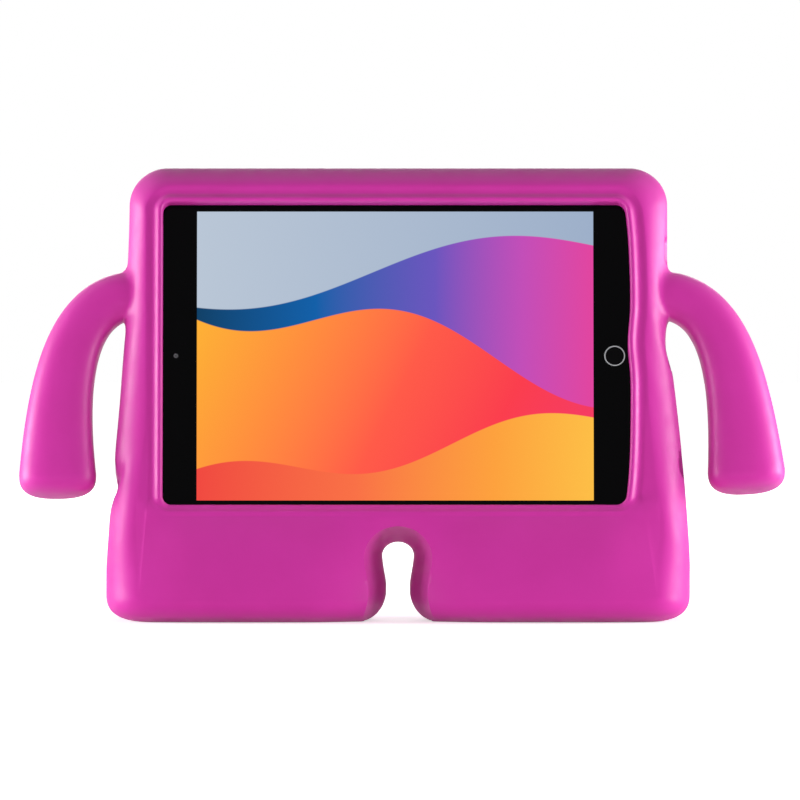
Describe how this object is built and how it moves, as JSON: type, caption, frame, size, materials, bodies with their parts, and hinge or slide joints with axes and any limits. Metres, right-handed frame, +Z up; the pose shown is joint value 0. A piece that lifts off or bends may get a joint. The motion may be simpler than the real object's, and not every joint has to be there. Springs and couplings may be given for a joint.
{
  "type": "kids tablet case",
  "caption": "Moulded foam tablet case with curved arms and broad legs; it stands by itself and holds a tablet behind a raised bead lip.",
  "frame": {"origin": "middle of the underside's bounding box, on the floor under the soles", "axes": "+Z up, -Y towards the viewer of the screen, +X to the viewer's right"},
  "size_m": [0.3998, 0.102, 0.2354],
  "materials": {
    "eva_foam": "satin moulded foam skin",
    "anodised_aluminium": "fine blasted",
    "black_bordered_glass": "polished",
    "display_module": "plain",
    "polished_ring_metal": "polished",
    "black_plastic": "matt",
    "circuit_board": "solder mask",
    "battery_pouch": "foil",
    "lens_glass": "polished"
  },
  "bodies": {
    "case_and_tablet": {"foam_case": "eva_foam", "tablet_housing": "anodised_aluminium", "front_glass": "black_bordered_glass", "display_panel": "display_module", "home_ring": "polished_ring_metal", "home_sensor_board": "circuit_board", "front_camera": "black_plastic", "rear_camera_ring": "polished_ring_metal", "rear_camera_lens": "lens_glass", "rear_camera_module": "black_plastic", "charge_port": "display_module", "headphone_socket": "black_plastic", "speaker_upper": "black_plastic", "speaker_lower": "black_plastic", "battery_left": "battery_pouch", "battery_right": "battery_pouch", "logic_board": "circuit_board"},
    "home_button": {"home_button": "black_plastic"},
    "power_button": {"power_button": "anodised_aluminium"},
    "volume_up_button": {"volume_up_button": "anodised_aluminium"},
    "volume_down_button": {"volume_down_button": "anodised_aluminium"}
  },
  "joints": [
    {"name": "home_press", "type": "slide", "parent": "case_and_tablet", "child": "home_button", "axis": [0, 0.9613, -0.2756], "range_m": [0, 0.00025], "stiffness_N_per_m": 2000, "springref_m": -0.0005},
    {"name": "power_press", "type": "slide", "parent": "case_and_tablet", "child": "power_button", "axis": [1, 0, 0], "range_m": [0, 0.00025], "stiffness_N_per_m": 2000, "springref_m": -0.0005},
    {"name": "volume_up_press", "type": "slide", "parent": "case_and_tablet", "child": "volume_up_button", "axis": [0, -0.2756, -0.9613], "range_m": [0, 0.00025], "stiffness_N_per_m": 2000, "springref_m": -0.0005},
    {"name": "volume_down_press", "type": "slide", "parent": "case_and_tablet", "child": "volume_down_button", "axis": [0, -0.2756, -0.9613], "range_m": [0, 0.00025], "stiffness_N_per_m": 2000, "springref_m": -0.0005}
  ]
}
